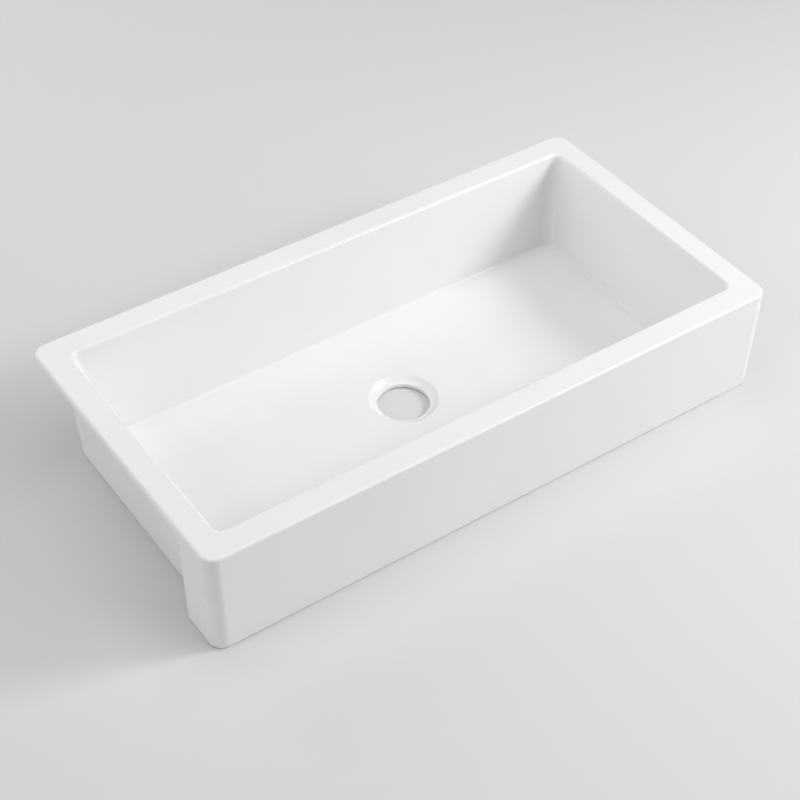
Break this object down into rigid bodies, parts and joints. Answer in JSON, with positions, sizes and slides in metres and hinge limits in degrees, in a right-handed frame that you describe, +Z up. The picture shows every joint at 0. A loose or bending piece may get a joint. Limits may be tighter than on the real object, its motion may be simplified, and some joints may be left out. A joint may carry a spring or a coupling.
{
  "type": "farmhouse apron front sink",
  "caption": "White glazed fireclay kitchen sink: wide rectangular bowl, flat rim that lies on a worktop, and a full-width apron with side returns",
  "frame": {"origin": "on the standing plane, under the middle of the sink's overall width and depth", "axes": "+X along the apron, to the right as the user faces it; +Y away from the user, from the apron to the back rim; +Z up, out of the bowl"},
  "size_m": [1.067, 0.549, 0.196],
  "materials": {
    "white_glaze": "smooth glossy white glaze",
    "bare_fireclay": "matt unglazed fireclay"
  },
  "bodies": {
    "root": {"rim": "white_glaze", "bowl": "white_glaze", "apron_front": "white_glaze", "outlet_boss": "bare_fireclay", "front_web_1": "bare_fireclay", "front_web_2": "bare_fireclay", "front_web_3": "bare_fireclay", "front_web_4": "bare_fireclay", "return_web_left": "bare_fireclay", "return_web_right": "bare_fireclay"}
  },
  "joints": []
}
